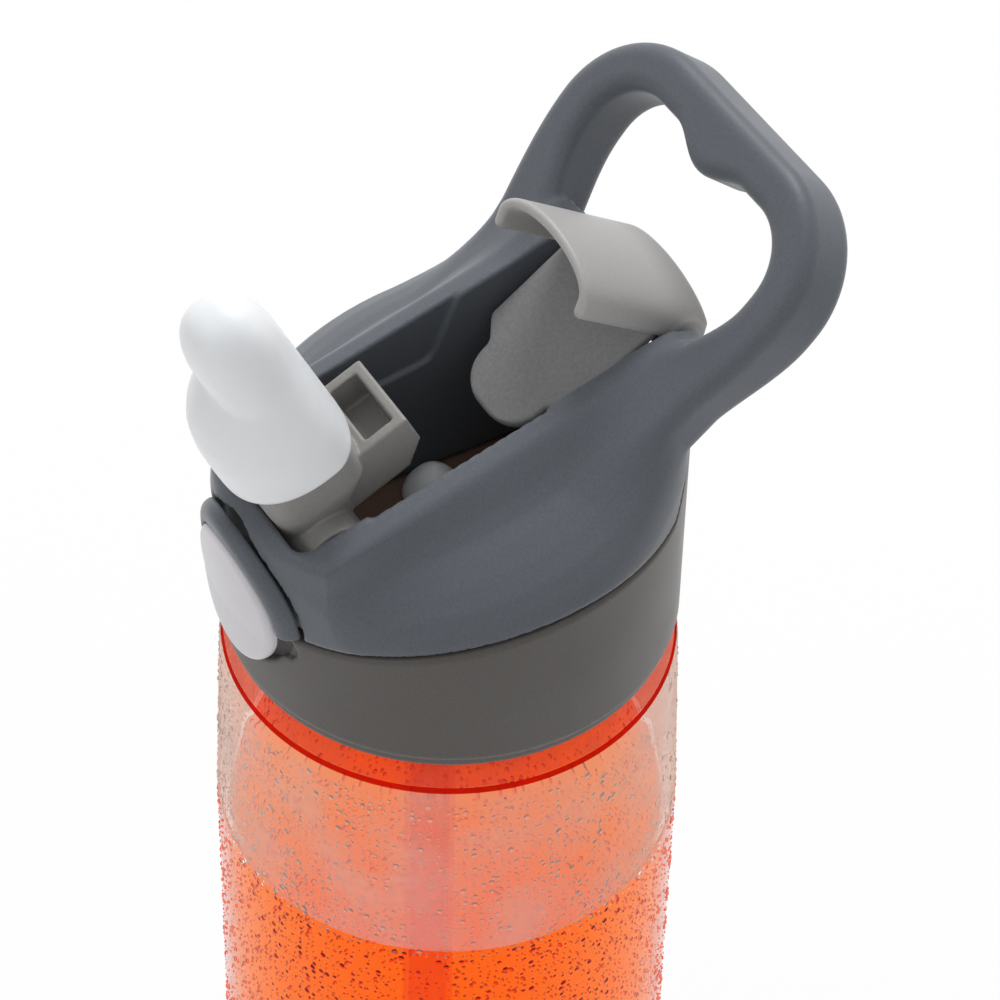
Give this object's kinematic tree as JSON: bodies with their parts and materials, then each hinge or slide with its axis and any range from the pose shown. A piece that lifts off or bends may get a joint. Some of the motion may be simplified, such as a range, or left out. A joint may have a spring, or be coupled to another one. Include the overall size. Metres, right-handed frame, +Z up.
{
  "type": "sports water bottle",
  "caption": "Clear cylindrical drinking bottle with a screw lid, a flip-up soft spout over a straw, a hinged spout shield, a release button and a carry loop.",
  "frame": {"origin": "centre of the flat base, on the surface the bottle stands on", "axes": "+Z up the bottle's axis, -Y to the release button and the open spout, +Y to the carry loop, +X right seen from the button side"},
  "size_m": [0.073, 0.096, 0.2637],
  "materials": {
    "clear_copolyester": "clear, smooth and glossy",
    "slate_polypropylene": "slate blue-grey, fine matte grain",
    "warm_grey_polypropylene": "dark warm grey, matte",
    "arm_grey_plastic": "mid grey, satin",
    "shield_grey_plastic": "light warm grey, satin",
    "pale_lilac_plastic": "pale lilac grey, satin",
    "white_silicone": "milky translucent silicone, soft sheen",
    "clear_straw": "translucent tube",
    "spring_steel": "drawn wire and ground pins"
  },
  "bodies": {
    "bottle": {"bottle_body": "clear_copolyester"},
    "seal": {"neck_gasket": "white_silicone"},
    "lid": {"lid_collar": "warm_grey_polypropylene", "lid_housing": "slate_polypropylene", "vent_valve": "white_silicone", "spout_seal": "white_silicone", "straw": "clear_straw", "shield_pin": "spring_steel", "spout_spring": "spring_steel", "shield_spring": "spring_steel", "button_spring": "spring_steel"},
    "spout_axle": {"spout_pin_left": "spring_steel", "spout_pin_right": "spring_steel"},
    "spout": {"spout_arm": "arm_grey_plastic", "spout_mouthpiece": "white_silicone"},
    "shield": {"spout_shield": "shield_grey_plastic"},
    "button": {"button_frame": "slate_polypropylene", "button_pad": "pale_lilac_plastic"}
  },
  "joints": [
    {"name": "lid_rise", "type": "slide", "parent": "bottle", "child": "seal", "axis": [0, 0, 1], "range_m": [0, 0.006]},
    {"name": "lid_turn", "type": "hinge", "parent": "seal", "child": "lid", "pos_m": [0, 0, 0.186], "axis": [0, 0, 1], "range_deg": [0, 540]},
    {"name": "spout_swing", "type": "hinge", "parent": "lid", "child": "spout_axle", "pos_m": [0, -0.025, 0.218], "axis": [1, 0, 0], "range_deg": [-70, 0], "stiffness_Nm_per_rad": 0.02, "springref_deg": 34.38, "deforming": ["spout_spring"]},
    {"name": "spout_tuck", "type": "hinge", "parent": "spout_axle", "child": "spout", "pos_m": [0, -0.025, 0.218], "axis": [1, 0, 0], "range_deg": [-20, 0], "stiffness_Nm_per_rad": 0.03, "springref_deg": 34.38},
    {"name": "shield_flip", "type": "hinge", "parent": "lid", "child": "shield", "pos_m": [0, 0.0315, 0.2345], "axis": [1, 0, 0], "range_deg": [0, 46], "stiffness_Nm_per_rad": 0.002, "springref_deg": -17.19, "deforming": ["shield_spring"]},
    {"name": "button_press", "type": "slide", "parent": "lid", "child": "button", "axis": [0, 1, 0], "range_m": [0, 0.0015], "stiffness_N_per_m": 600, "springref_m": -0.001, "deforming": ["button_spring"]}
  ],
  "couplings": [
    {"joint": "lid_turn", "follows": "lid_rise", "rad_per_m": 1570.8},
    {"joint": "shield_flip", "follows": "spout_tuck", "ratio": -2.25}
  ]
}
